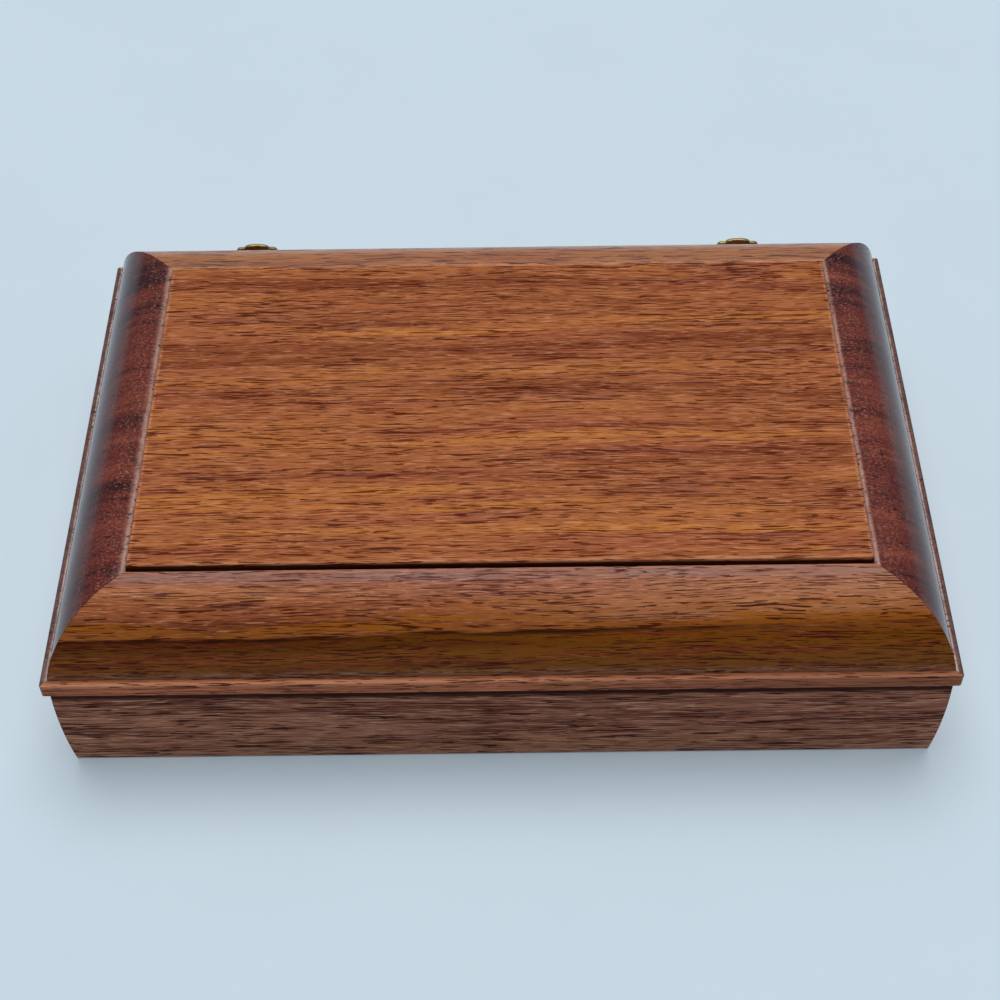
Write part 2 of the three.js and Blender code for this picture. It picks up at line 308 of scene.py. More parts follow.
# the worn tone in each look stands for worn arrises and also paints a highlight along edges that catch the
# light
plainBoards = {
    "Ground": (186, 120, 92), "Gold": (190, 124, 84), "Red": (168, 100, 78), "Purple": (144, 88, 78),
    "Dark": (104, 46, 32), "Pore": (54, 12, 4), "Pale": (238, 178, 150), "wornAndHighlight": (236, 172, 144),
    "Pore size": (20, 0.5, 0.5), "Dash size": (10, 0.42, 0.42), "Fibre size": (10, 0.46, 0.46),
    "Pore level": 0.61, "Dash level": 0.6, "Dark share": 0.75, "Fibre share": 0.65, "Dash share": 0.85,
    "roughness": 0.45, "edgePatches": (0.5, 0.95), "paintedShade edge": 3, "paintedShade fades": True,
}
woodLooks = {
    "panelWood": {
        "shift": (300, 30, 10),
        "Ground": (162, 94, 54), "Gold": (190, 118, 52), "Red": (152, 80, 56), "Purple": (128, 72, 64),
        "Dark": (108, 46, 22), "Pore": (76, 20, 2), "Pale": (210, 146, 108), "wornAndHighlight": (208, 142, 104),
        "Pore size": (15, 0.5, 0.5), "Dash size": (7, 0.4, 0.4), "Fibre size": (6, 0.36, 0.36),
        "Dark share": 0.75, "Gold share": 0.85, "Fibre share": 0.55, "Dash share": 0.85,
        "Pore level": 0.625, "Dash level": 0.61,
        "roughness": 0.5, "gloss": 0.05, "edgePatches": (0.1, 0.7),
        # a painted shadow darkens the panel's front face below its top, narrowing towards the right
        "grime": (62.0, 61.8, (34, 12, 6), 0.94), "paintedShade slope": 0.003, "paintedShade edge": 24.7,
    },
    "frontRailWood": {
        "shift": (-150, 64, 40),
        "Ground": (158, 90, 54), "Gold": (168, 100, 46), "Red": (144, 74, 48), "Purple": (122, 70, 62),
        "Dark": (102, 44, 20), "Pore": (64, 12, 0), "Pale": (216, 150, 112), "wornAndHighlight": (190, 122, 92),
        "Cluster size": (26, 2.6, 2.6), "Pore size": (14, 0.46, 0.46), "Dash size": (7, 0.38, 0.38),
        "Fibre size": (6, 0.36, 0.36), "Pore level": 0.63, "Dash level": 0.615,
        "Pore share": 0.9, "Dash share": 0.85, "Fibre share": 0.55,
        "roughness": 0.3, "gloss": 0.1, "edgePatches": (0.15, 0.6), "heart": True,
        "foot": (176, 132, 106), "foot share": (0.0, 0.85),
        "lip": (220, 120, 80), "lip share": (0.2, 0.9), "lip right": (178, 96, 68),
        "ridge": (190, 130, 96), "ridge right": (160, 104, 78), "ledge dirt": (150, 98, 72),
    },
    "backRailWood": {
        "shift": (90, -40, 10),
        # its tones are lighter and greyer than the front rail's, partly a painted sheen on the slope that
        # faces the back
        "Ground": (164, 106, 70), "Gold": (170, 111, 62), "Red": (150, 89, 64), "Purple": (134, 86, 76),
        "Dark": (126, 64, 42), "Pore": (58, 20, 12), "Pale": (196, 132, 100), "wornAndHighlight": (190, 130, 104),
        "roughness": 0.3, "gloss": 0.4, "edgePatches": (0.15, 0.6), "lip": (176, 106, 70), "lip share": (0.0, 0.7),
        "foot": (168, 128, 98), "foot share": (0.0, 0.6),
    },
    "sideRailWood": {
        "shift": (0, 15, 33),
        "Ground": (100, 42, 34), "Gold": (132, 66, 48), "Red": (88, 32, 28), "Purple": (56, 22, 28),
        "Dark": (44, 13, 18), "Pore": (38, 12, 14), "Pale": (166, 100, 86), "wornAndHighlight": (178, 138, 126),
        "Band size": (90, 9, 70), "Patch size": (60, 5, 60), "Cluster size": (24, 5, 60),
        "Pore size": (1.5, 0.7, 0.7), "Dash size": (1.0, 0.5, 0.5), "Fibre size": (0.9, 0.5, 0.5),
        "Dark share": 1.0, "Gold share": 0.8, "Fibre share": 0.4, "Purple share": 0.8,
        "Pore level": 0.66, "Dash level": 0.66, "Waviness": (0, 3, 3),
        "roughness": 0.13, "gloss": 0.24, "relief": 0.2, "edgePatches": (0.3, 0.9), "edgePatch size": (1.6, 6, 6),
        # the pale tone on the crown's flat is dust, and by the panel also a painted sheen
        "lip": (140, 118, 116), "lip share": (0.2, 0.95), "ledge only": True, "dustAndSheen": (172, 130, 116),
        # the pale foot tone is dust and a painted highlight along the crown's foot
        "foot": (212, 184, 174), "foot share": (0.3, 0.8),
        # painted shade darkens the crown from just below its top downwards
        "grime": (60.8, 55, (46, 12, 18), 0.7), "paintedShade edge": 23,
    },
    # on both boards a painted shadow darkens the top, under the lid's lip
    "boardWood": plainBoards | {
        "shift": (-40, 10, -54), "gloss": 0.03, "grime": (31.2, 33.1, (44, 8, 0), 0.92),
    },
    "sideBoardWood": plainBoards | {
        "shift": (60, -30, 25), "turn": 90, "gloss": 0.1, "grime": (32.2, 33.4, (60, 24, 14), 0.7),
    },
    "bottomWood": {
        "shift": (10, 80, 5),
        "Ground": (146, 98, 62), "Gold": (156, 110, 66), "Red": (134, 86, 56), "Purple": (124, 80, 60),
        "Dark": (112, 72, 46), "Pore": (70, 38, 24), "Pale": (176, 130, 92), "wornAndHighlight": (170, 124, 90),
        "roughness": 0.62, "gloss": 0.3, "edgePatches": (0.1, 0.5),
    },
}
usualLook = figureSizes | figureShares | {
    "turn": 0, "relief": 0.45, "edgePatch size": (14, 1.6, 1.6), "paintedShade slope": 0.0,
}
surface = {
    "edgePatches": (3.0, 0.65, (0.36, 0.66)),
    "porePolish": -0.22,
    "edgeDull": 0.12,
    "depth": 0.12,
    "refraction": 1.5,
}

heartFigure = {   # the dark wavy line along the front rail, with ochre above it and browner wood below
    "height": 53.9,
    "slope": 0.0118,
    "sway": 2.4,
    "swayGrain": ((50, 50, 50), 2.0, 0.6),
    "streakGrain": ((30, 2.2, 2.2), 3.0, 0.6),
    "gold": (166, 94, 20),
    "goldReach": 5.5,
    "goldFade": 0.4,                       # the share of its reach over which it is full
    "goldEdge": (0.35, 0.65, 0.5, 1.2),
    "goldStart": (0.0, 0.5),
    "goldStreaks": (0.3, 0.6, 0.2, 0.75),
    "sap": (200, 140, 96),                 # pale wood above the line, on the right
    "sapAlong": (-30, 50),
    "sapFrom": (1.0, 3.5),
    "sapTo": (6.5, 5.0, 0.3, 1.0),
    "sapStreaks": (0.3, 0.62, 0.55, 0.15),
    "below": (214, 170, 80),
    "belowShare": 0.85,
    "belowEdge": (-0.5, 0.3),
    "loose": (0, 80, 0.0, 2.6),            # the line loosens towards the right
    "patch": (140, 82, 12),
    "patchShare": 0.75,
    "patchSlope": 0.0005,
    "patchEdge": (0.4, 0.56),
    "line": (30, 10, 4),
    "lineFrom": (-1.3, -0.1),
    "lineTo": (0.5, 0.0),
    "lineAlong": (10, 90, 0.85, 0.4),
    "lineBreaks": ((18, 1.5, 1.5), 2.0, 0.5, (0.36, 0.56)),
    "underFrom": (-5.5, -3.0),             # the dark just below the line, stronger on the left
    "underAlong": (50, -40, 0.1, 0.4),
    "bloom": (150, 132, 132),              # a painted sheen: a greyish tint on the flat by the panel
    "bloomReach": (-3, 1),
    "bloomStreaks": (0.3, 0.6, 0.2, 0.45),
    "innerWall": (-3, -2),
    "innerTop": (53, 52),
}


def addHeart(place, plain):
    heart = heartFigure
    x, y, z = partsOf(place)
    sway = times(minus(grain(place, *heart["swayGrain"]), 0.5), heart["sway"])
    above = minus(plus(z, sway), timesPlus(x, heart["slope"], heart["height"]))
    streaks = grain(place, *heart["streakGrain"])

    reach = times(rise(streaks, *heart["goldEdge"]), heart["goldReach"])
    gold = rise(above, reach, times(reach, heart["goldFade"]))
    gold = stepped(heart, gold, goldStart=above, goldStreaks=streaks)
    colour = tint(gold, plain, heart["gold"])
    sap = stepped(heart, sapAlong=x, sapFrom=above, sapTo=above, sapStreaks=streaks)
    colour = tint(sap, colour, heart["sap"])

    loose = rise(x, *heart["loose"])
    low, high = heart["belowEdge"]
    below = rise(above, plus(loose, high), minus(low, loose))
    colour = tint(times(below, heart["belowShare"]), colour, heart["below"], "MULTIPLY")
    patches = timesPlus(x, heart["patchSlope"], streaks)
    patches = stepped(heart, below, heart["patchShare"], patchEdge=patches)
    colour = tint(patches, colour, heart["patch"])
    under = stepped(heart, below, underFrom=above, underAlong=x)
    colour = tint(under, colour, heart["line"])
    breaks = patchy(place, heart["lineBreaks"])
    line = stepped(heart, breaks, lineFrom=above, lineTo=above, lineAlong=x)
    colour = tint(line, colour, heart["line"])

    front = -boxSizes["depth"] / 2
    # a painted sheen greys the flat of the crown by the panel
    fromFlat = minus(y, front + railReach - railShape["topFlat"])
    bloom = stepped(heart, bloomReach=fromFlat, bloomStreaks=streaks)
    colour = tint(bloom, colour, heart["bloom"])
    fromWall = minus(y, front + boxSizes["wallInset"])
    inner = stepped(heart, innerWall=fromWall, innerTop=z)
    return blend(inner, colour, plain)


def insetFrom(x, y):   # how far a place lies in from the outer edge of the lip
    atEnd = minus(boxSizes["width"] / 2, mathNode("ABSOLUTE", x))
    atSide = minus(boxSizes["depth"] / 2, mathNode("ABSOLUTE", y))
    return mathNode("MINIMUM", atEnd, atSide)


lipTouch = {   # limits as insets from the lip's edge, or as heights above the ledge
    "reach": (3.6, 3.2),
    "underside": (0, 0.3),         # above the lid's own underside
    "top": (0.1, -0.2),
    "stripes": ((24, 0.8, 0.8), 2.0, 0.5, (0.34, 0.66)),
    "flat": (-0.9, -0.5),
    "darkArris": (0.4, 0.8),       # the ledge stays dark outside this
    "blotches": ((1.4, 6, 6), 3.0, 0.7, (0.36, 0.64)),
    "blotchesFrom": (1.2, 1.7),
    "blotchesTop": (0.5, 0.2),
    "right": (-10, 80),            # where the tones change along the front
    "dirtAcross": (1.1, 1.6, 0.0, 0.7),
    "dirtFrom": (-0.2, -0.1),
    "dirtTo": (1.5, 0.7),
    "ridgeAcross": (1.6, 1.0),
    "ridgeDown": (-1.4, -0.3),
    "ridgeStripes": (0.3, 0.8, 0.5, 0.95),
}


def addLip(place, spot, colour, look):   # the tones of the lip, in stripes, and of the ledge above it
    touch = lipTouch
    x, y, z = partsOf(spot)
    inset = insetFrom(x, y)
    height = minus(z, lidBottom + railShape["lipHeight"])
    outer = stepped(touch, reach=inset, underside=minus(z, lidBottom))
    stripes = patchy(place, touch["stripes"], *look["lip share"])
    lip = stepped(touch, outer, stripes, top=height)
    if "ledge only" in look:   # pale by the crown, as dust and a painted highlight, and dark at the outer arris
        flat = rise(height, *touch["flat"])
        colour = tint(stepped(touch, lip, flat, darkArris=inset), colour, look["lip"])
        blotches = patchy(place, touch["blotches"], *look["foot share"])
        blotches = stepped(touch, outer, blotches, flat, blotchesFrom=inset, blotchesTop=height)
        return tint(blotches, colour, look["foot"])
    if "ridge" not in look:
        return tint(lip, colour, look["lip"])
    right = rise(x, *touch["right"])
    lipTone = tint(right, linearTone(look["lip"]), look["lip right"])
    ridgeTone = tint(right, linearTone(look["ridge"]), look["ridge right"])
    colour = blend(lip, colour, lipTone)
    across = plus(height, inset)   # above zero across the ledge, below zero down the face
    dirt = stepped(touch, outer, dirtAcross=across, dirtFrom=height, dirtTo=height)
    colour = tint(dirt, colour, look["ledge dirt"])
    ridge = stepped(touch, outer, ridgeAcross=across, ridgeDown=across, ridgeStripes=stripes)
    return blend(ridge, colour, ridgeTone)


footDustAndHighlightTouch = {
    "blotches": ((5, 1.1, 1.1), 3.0, 0.7, (0.36, 0.64)),
    "start": (0.0, 0.1),           # height above the ledge
    "end": (3.2, 0.8),
    "reach": (8, 7),               # inset from the lip's edge
}


def addFootDustAndHighlight(place, spot, colour, look):   # dust in the corner where the crown meets the ledge; on the side rails its pale tone is also a painted highlight along the crown's foot
    touch = footDustAndHighlightTouch
    x, y, z = partsOf(spot)
    height = minus(z, lidBottom + railShape["lipHeight"])
    blotches = patchy(place, touch["blotches"], *look["foot share"])
    share = stepped(touch, blotches, start=height, end=height, reach=insetFrom(x, y))
    return tint(share, colour, look["foot"])


dustAndSheenTouch = {
    "specks": ((0.9, 0.5, 0.5), 2.0, 0.7, (0.53, 0.68, 0.0, 0.4)),
    "film": ((2.5, 1.2, 1.2), 3.0, 0.7, (0.35, 0.65, 0.25, 0.75)),
    "filmReach": (2.8, 1.0),          # out from the panel
    "narrower": (-1, 1, 1.0, 0.55),   # on the right
    "top": (-1.4, -0.1),
}


def addDustAndSheen(place, spot, colour, look):   # pale specks of dust on the flat of the crown, thickest by the panel, where a pale film is part dust and part painted sheen
    touch = dustAndSheenTouch
    x, y, z = partsOf(spot)
    beyond = minus(railReach, insetFrom(x, y))
    beyond = mathNode("DIVIDE", beyond, rise(x, *touch["narrower"]))
    film = stepped(touch, patchy(place, touch["film"]), filmReach=beyond)
    share = larger(patchy(place, touch["specks"]), film)
    height = minus(z, lidBottom + railShape["height"])
    return tint(stepped(touch, share, top=height), colour, look["dustAndSheen"])


paintedShadeFade = (2.2, 0.8, 0.3, 1.0)   # how the painted shade eases beyond its darkest level


def addPaintedShade(place, spot, colour, look):   # painted shade: the wood darkens from one height to another on the outside of the box, as a painted shadow under the lid's lip and at the panel's front edge, and down the side rails' crown
    clean, dirty, tone, most = look["grime"]
    x, y, z = partsOf(spot)
    level = timesPlus(x, look["paintedShade slope"], z)
    edge = look["paintedShade edge"]
    outer = rise(insetFrom(x, y), edge + 1, edge)
    share = times(rise(level, clean, dirty, 0.0, most), outer)
    if "paintedShade fades" in look:
        share = times(share, rise(minus(level, dirty), *paintedShadeFade))
    return tint(share, colour, tone)


def woodMaterial(name):
    look = usualLook | woodLooks[name]
    material, tree, spot = startMaterial(name)
    turned = {"Vector": spot, "Location": look["shift"], "Rotation": (0, 0, math.radians(look["turn"]))}
    place = outOf(tree, "ShaderNodeMapping", turned)
    figure = addNode(tree, "ShaderNodeGroup", node_tree=hardwood)
    tree.links.new(place, figure.inputs["Place"])
    for key in figureColours:
        figure.inputs[key].default_value = linearTone(look[key])
    for key in (*figureSizes, *figureShares):
        figure.inputs[key].default_value = look[key]
    colour = figure.outputs["Colour"]
    if "heart" in look:
        colour = addHeart(spot, colour)
    if "dustAndSheen" in look:
        colour = addDustAndSheen(place, spot, colour, look)
    # the wear attribute lightens arrises for wear and as a painted highlight, and the boards' foot as
    # painted light bounced from the floor
    wearAndHighlight = addNode(tree, "ShaderNodeAttribute", attribute_name="wearAndHighlight").outputs["Fac"]
    wornAndHighlight = times(wearAndHighlight, patchy(place, (look["edgePatch size"], *surface["edgePatches"]), *look["edgePatches"]))
    colour = tint(wornAndHighlight, colour, look["wornAndHighlight"])
    for key, add in (("grime", addPaintedShade), ("foot", addFootDustAndHighlight), ("lip", addLip)):
        if key in look:
            colour = add(place, spot, colour, look)
    colour = tint(figure.outputs["Pores"], colour, look["Pore"])
    roughness = timesPlus(figure.outputs["Depth"], surface["porePolish"], look["roughness"])
    roughness = timesPlus(wornAndHighlight, surface["edgeDull"], roughness)
    endMaterial(tree, figure.outputs["Depth"], look["relief"], surface["depth"], {
        "Base Color": colour, "Roughness": roughness, "IOR": surface["refraction"],
        "Specular IOR Level": look["gloss"]})
    return material


print("wood figure made")


# Brass

brassLooks = {
    "hingeBrass": {"clean": (176, 158, 108), "aged": (124, 112, 78), "roughness": 0.4, "age": 0.5},
    "screwBrass": {"clean": (190, 158, 98), "aged": (128, 104, 64), "roughness": 0.3, "age": 0.45},
}
brassForm = {
    "stains": ((2.6, 2.6, 2.6), 4.0, 0.65),
    "stainEdge": 0.2,
    "stainDull": 0.2,
    "drawn": ((6, 0.12, 0.12), 2.0),          # the fine lines of drawn metal
    "drawnRelief": 0.4,
    "pits": ((0.4, 0.4, 0.4), 2.0, 0.5, (0.62, 0.74)),
    "pitTone": (60, 44, 26),
    "pitShare": 0.6,
    "pitRelief": -1.0,
    "relief": 0.3,
    "depth": 0.04,
}


def brassMaterial(name):
    look, form = brassLooks[name], brassForm
    material, tree, place = startMaterial(name)
    stains = grain(place, *form["stains"])
    drawn = grain(place, *form["drawn"])
    aged = rise(stains, look["age"] - form["stainEdge"], look["age"] + form["stainEdge"])
    colour = tint(aged, linearTone(look["clean"]), look["aged"])
    pits = times(patchy(place, form["pits"]), form["pitShare"])
    colour = tint(pits, colour, form["pitTone"])
    roughness = timesPlus(aged, form["stainDull"], look["roughness"])
    relief = timesPlus(drawn, form["drawnRelief"], times(pits, form["pitRelief"]))
    endMaterial(tree, relief, form["relief"], form["depth"], {
        "Base Color": colour, "Roughness": roughness, "Metallic": 1.0})
    return material


materials = {name: woodMaterial(name) for name in woodLooks}
materials.update({name: brassMaterial(name) for name in brassLooks})
print("materials made:", len(materials))


# Meshes

meshRules = {
    "facetAngle": 35,      # degrees, above which an edge stays sharp
    "weld": 0.0005,
    "arrisSteps": 2,
}


def newObject(name, data):
    made = bpy.data.objects.new(name, data)
    bpy.context.scene.collection.objects.link(made)
    return made


def meshFrom(name, vertices, faces, edges=()):
    mesh = bpy.data.meshes.new(name)
    mesh.from_pydata([[part * mm for part in vertex] for vertex in vertices], edges, faces)
    return mesh


def markPoints(mesh, name, values):
    mesh.attributes.new(name, "FLOAT", "POINT").data.foreach_set("value", values)


def settled(maker):   # the evaluated result of live modifiers, as a plain mesh
    bpy.context.view_layer.update()
    depsgraph = bpy.context.evaluated_depsgraph_get()
    mesh = bpy.data.meshes.new_from_object(maker.evaluated_get(depsgraph), depsgraph=depsgraph)
    mesh.name = maker.name
    bpy.data.objects.remove(maker)
    return mesh


def faceOutwards(mesh):
    work = bmesh.new()
    work.from_mesh(mesh)
    bmesh.ops.remove_doubles(work, verts=work.verts, dist=meshRules["weld"] * mm)
    bmesh.ops.recalc_face_normals(work, faces=work.faces)
    work.to_mesh(mesh)
    work.free()


def cutFrom(mesh, cutters):
    maker = newObject(mesh.name, mesh)
    for index, cutter in enumerate(cutters):
        faceOutwards(cutter)
        holder = newObject(f"cutter{index}", cutter)
        step = maker.modifiers.new(f"cut{index}", "BOOLEAN")
        step.object = holder
        step.operation = "DIFFERENCE"
        step.solver = "MANIFOLD"
    result = settled(maker)
    for index in range(len(cutters)):
        bpy.data.objects.remove(bpy.data.objects[f"cutter{index}"])
    return result


def smoothed(mesh, arris=0.0, arrisAngle=0):   # with the edges above an angle rounded, if an arris is given
    maker = newObject(mesh.name, mesh)
    mesh.shade_smooth()
    if arris:
        bevel = maker.modifiers.new("arris", "BEVEL")
        bevel.width = arris * mm
        bevel.segments = meshRules["arrisSteps"]
        bevel.limit_method = "ANGLE"
        bevel.angle_limit = math.radians(arrisAngle)
        bevel.use_clamp_overlap = True
        bevel.miter_outer = "MITER_ARC"
    mesh = settled(maker)
    mesh.set_sharp_from_angle(angle=math.radians(meshRules["facetAngle"]))
    maker = newObject(mesh.name, mesh)
    weighted = maker.modifiers.new("weights", "WEIGHTED_NORMAL")
    weighted.keep_sharp = True
    return settled(maker)


def finish(name, mesh, material, body, nodes):
    mesh.name = name
    piece = newObject(name, mesh)
    mesh.materials.clear()
    mesh.materials.append(materials[material])
    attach(piece, body)
    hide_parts(*nodes)
    return piece


# Sections of the wood, as inset from the lip edge and height above the table, with the share of wear and
# painted highlight

rounding = {"steps": 6, "guard": 0.7}   # the guard keeps the wear and painted highlight of an arris off the flats beside it


def roundedPath(stops):
    steps, guard = rounding["steps"], rounding["guard"]
    path = []
    for index, (inset, height, size, wearAndHighlight) in enumerate(stops):
        tip = Vector((inset, height))
        if not size:
            path.append((*tip, wearAndHighlight))
            continue
        ways = [Vector(stops[other % len(stops)][:2]) - tip for other in (index - 1, index + 1)]
        start, end = (tip + way.normalized() * size for way in ways)
        arc = []
        for step in range(steps + 1):
            share = step / steps
            arc.append((*start.lerp(tip, share).lerp(tip.lerp(end, share), share), wearAndHighlight))
        guards = [[], []]
        for way, found in zip(ways, guards):
            if wearAndHighlight and way.length > size + 2 * guard:
                found.append((*(tip + way.normalized() * (size + guard)), 0))
        path += guards[0] + arc + guards[1]
    return path


panelShape = {"thickness": 6, "proud": 1.5, "endGap": 0.2, "sideGap": 0.6, "arris": 0.5, "cornerRound": 0.8}
lidTop = lidBottom + railShape["height"]


def railSection():
    shape = railShape
    ledge = lidBottom + shape["lipHeight"]
    shelfTop = lidTop + panelShape["proud"] - panelShape["thickness"] - boxSizes["seatGap"]
    shelfBottom = shelfTop - shape["shelfThickness"]
    start = math.radians(shape["crownStart"])
    across = shape["crownReach"] / math.cos(start)
    up = (lidTop - ledge) / (1 - math.sin(start))
    middle = shape["ledgeWidth"] + shape["crownReach"]
    wall = boxSizes["wallInset"]
    stops = [   # inset, height, round and the share of wear and painted highlight
        (0, lidBottom, shape["lipUnder"], 0.5),
        (wall, lidBottom, shape["rimArris"], 0.3),
        (wall, shelfBottom, shape["cove"], 0),
        (railReach + shape["seatWidth"], shelfBottom, 0, 0),
        (railReach + shape["seatWidth"], shelfTop, 0, 0),
        (railReach, shelfTop, 0, 0),
        (railReach, lidTop, shape["topArris"], 1),
    ]
    for step in range(shape["crownSteps"] + 1):
        angle = math.pi / 2 + (math.pi / 2 - start) * step / shape["crownSteps"]
        stops.append((middle + across * math.cos(angle), lidTop - up + up * math.sin(angle), 0, 0))
    stops.append((0, ledge, shape["lipRound"], 1))
    return roundedPath(stops)


boardShape = {
    "bellyInset": 1.45,
    "bellyHeight": 25,
    "bellyRadius": 260,
    "footRound": 1.2,
    # the lower belly's share, lighter towards the foot, is wear and painted light bounced from the floor
    "footWearAndBounceLight": 0.6,
    "rimArris": 0.5,
    "bellySteps": 12,
    "cornerRound": 0.9,
}
bottomShape = {"thickness": 5, "rebate": 5, "gap": 0.2, "arris": 0.25, "cornerRound": 0.4}


def bellyInsetAt(height):
    above = height - boardShape["bellyHeight"]
    radius = boardShape["bellyRadius"]
    return boardShape["bellyInset"] + radius - math.sqrt(radius ** 2 - above ** 2)


def boardSection():
    shape = boardShape
    wall = boxSizes["wallInset"]
    rim = boxSizes["baseHeight"]
    rebateInset = wall - bottomShape["rebate"]
    rebateTop = bottomShape["thickness"] + boxSizes["seatGap"]
    stops = [   # inset, height, round and the share of wear and painted highlight
        # the foot's round is lighter for wear and as painted light bounced from the floor
        (bellyInsetAt(0), 0, shape["footRound"], 0.9),
        (rebateInset, 0, 0, 0),
        (rebateInset, rebateTop, 0, 0),
        (wall, rebateTop, 0, 0),
        (wall, rim, shape["rimArris"], 0.1),
        (bellyInsetAt(rim), rim, shape["rimArris"], 0.2),
    ]
    top = rim - 2 * shape["rimArris"]
    for step in range(shape["bellySteps"] + 1):
        height = top + (2 * shape["footRound"] - top) * step / shape["bellySteps"]
        stops.append((bellyInsetAt(height), height, 0, 0))
    stops[-1] = (*stops[-1][:3], shape["footWearAndBounceLight"])
    return roundedPath(stops)


def sectionMesh(name, section):
    count = len(section)
    edges = [(index, (index + 1) % count) for index in range(count)]
    mesh = meshFrom(name, [(inset, height, 0) for inset, height, wearAndHighlight in section], [], edges)
    markPoints(mesh, "wearAndHighlight", [wearAndHighlight for inset, height, wearAndHighlight in section])
    return mesh


def endTree(tree, name, geometry, material):
    geometry = outOf(tree, "GeometryNodeRealizeInstances", {"Geometry": geometry})
    finished = {"Geometry": geometry, "Material": material}
    geometry = outOf(tree, "GeometryNodeSetMaterial", finished)
    addNode(tree, "NodeGroupOutput", {name: geometry})


# A section run along one side and sheared at both ends to the mitre, lying along X with its inset along Y

def makeMitredLength():
    sockets = {"Section": "Geometry", "Side length": "Float", "Mitre gap": "Float", "Steps": "Int",
               "Finish": "Material"}
    tree, given = newTree("mitredLength", "GeometryNodeTree", sockets, {"Length": "Geometry"})
    store, recall = "GeometryNodeStoreNamedAttribute", "GeometryNodeInputNamedAttribute"
    position = outOf(tree, "GeometryNodeInputPosition")
    kept = {"Geometry": given["Section"], "Name": "sectionPlace", "Value": position}
    outline = outOf(tree, store, kept, data_type="FLOAT_VECTOR", domain="POINT")
    profile = outOf(tree, "GeometryNodeMeshToCurve", {"Mesh": outline})
    ends = {"Count": plus(given["Steps"], 1.0), "Start Location": (0, 0, 0), "Offset": (1, 0, 0)}
    line = outOf(tree, "GeometryNodeMeshLine", ends, mode="END_POINTS")
    kept = {"Geometry": line, "Name": "alongShare", "Value": partsOf(position)[0]}
    marked = outOf(tree, store, kept, data_type="FLOAT", domain="POINT")
    way = outOf(tree, "GeometryNodeMeshToCurve", {"Mesh": marked})
    run = {"Curve": way, "Profile Curve": profile, "Fill Caps": True}
    geometry = outOf(tree, "GeometryNodeCurveToMesh", run)
    section = outOf(tree, recall, {"Name": "sectionPlace"}, data_type="FLOAT_VECTOR")
    share = outOf(tree, recall, {"Name": "alongShare"}, data_type="FLOAT")
    inset, height = partsOf(section)[:2]
    room = timesPlus(inset, -2.0, minus(given["Side length"], given["Mitre gap"]))
    along = times(minus(share, 0.5), room)
    moved = {"Geometry": geometry, "Position": vectorOf({0: along, 1: inset, 2: height})}
    geometry = outOf(tree, "GeometryNodeSetPosition", moved)
    for name in ("sectionPlace", "alongShare"):
        dropped = {"Geometry": geometry, "Name": name}
        geometry = outOf(tree, "GeometryNodeRemoveAttribute", dropped)
    endTree(tree, "Length", geometry, given["Finish"])
    return tree


mitredLengthTree = makeMitredLength()
mitredRun = {"steps": 12, "cornerCuts": (0.15, 0.35, 0.6, 1.0)}   # the cuts in shares of a corner's round


def runTree(name, mesh, tree, values):
    maker = newObject(name, mesh)
    modifier = maker.modifiers.new("build", "NODES")
    modifier.node_group = tree
    for item in tree.interface.items_tree:
        if item.in_out == "INPUT" and item.name in values:
            modifier[item.identifier] = values[item.name]
    return settled(maker)


def easeCorners(mesh, length, size, outerInset):   # rounds the upright corners of the box in plan
    work = bmesh.new()
    work.from_mesh(mesh)
    for sign in (-1, 1):
        for share in mitredRun["cornerCuts"]:
            for inset in (boardShape["bellyInset"], 0):
                everything = work.verts[:] + work.edges[:] + work.faces[:]
                spot = (sign * (length / 2 - share * size - inset) * mm, 0, 0)
                bmesh.ops.bisect_plane(work, geom=everything, plane_co=spot, plane_no=(1, 0, 0))
    for vertex in work.verts:
        place = vertex.co / mm
        start = outerInset(place.z)
        if start is None:
            continue
        inX = length / 2 - abs(place.x) - start - size
        inY = place.y - start - size
        reach = math.hypot(inX, inY)
        if inX < 0 and inY < 0 and reach > size:
            pull = size / reach
            vertex.co.x = math.copysign((length / 2 - start - size - inX * pull) * mm, place.x)
            vertex.co.y = (start + size + inY * pull) * mm
    work.to_mesh(mesh)
    work.free()


def lipInset(height):
    return 0 if height <= lidBottom + railShape["lipHeight"] + hair else None


def sideLength(name, side, section, shape, outerInset, wood):
    length, gap = sides[side]["length"], boxSizes["mitreGap"]
    values = {"Side length": length * mm, "Mitre gap": gap * mm, "Steps": mitredRun["steps"],
              "Finish": materials[wood]}
    mesh = runTree(name, sectionMesh(name, section), mitredLengthTree, values)
    faceOutwards(mesh)
    easeCorners(mesh, length, shape["cornerRound"], outerInset)
    return toPlace(mesh, side)


def toPlace(mesh, side):
    place = sides[side]
    turn = Matrix.Rotation(math.radians(place["turn"]), 4, "Z")
    mesh.transform(turn @ Matrix.Translation((0, -place["distance"] * mm, 0)))
    return mesh


# Hinges, drawn about the middle of the pin: X along it, Y into the wood, Z up the leaf

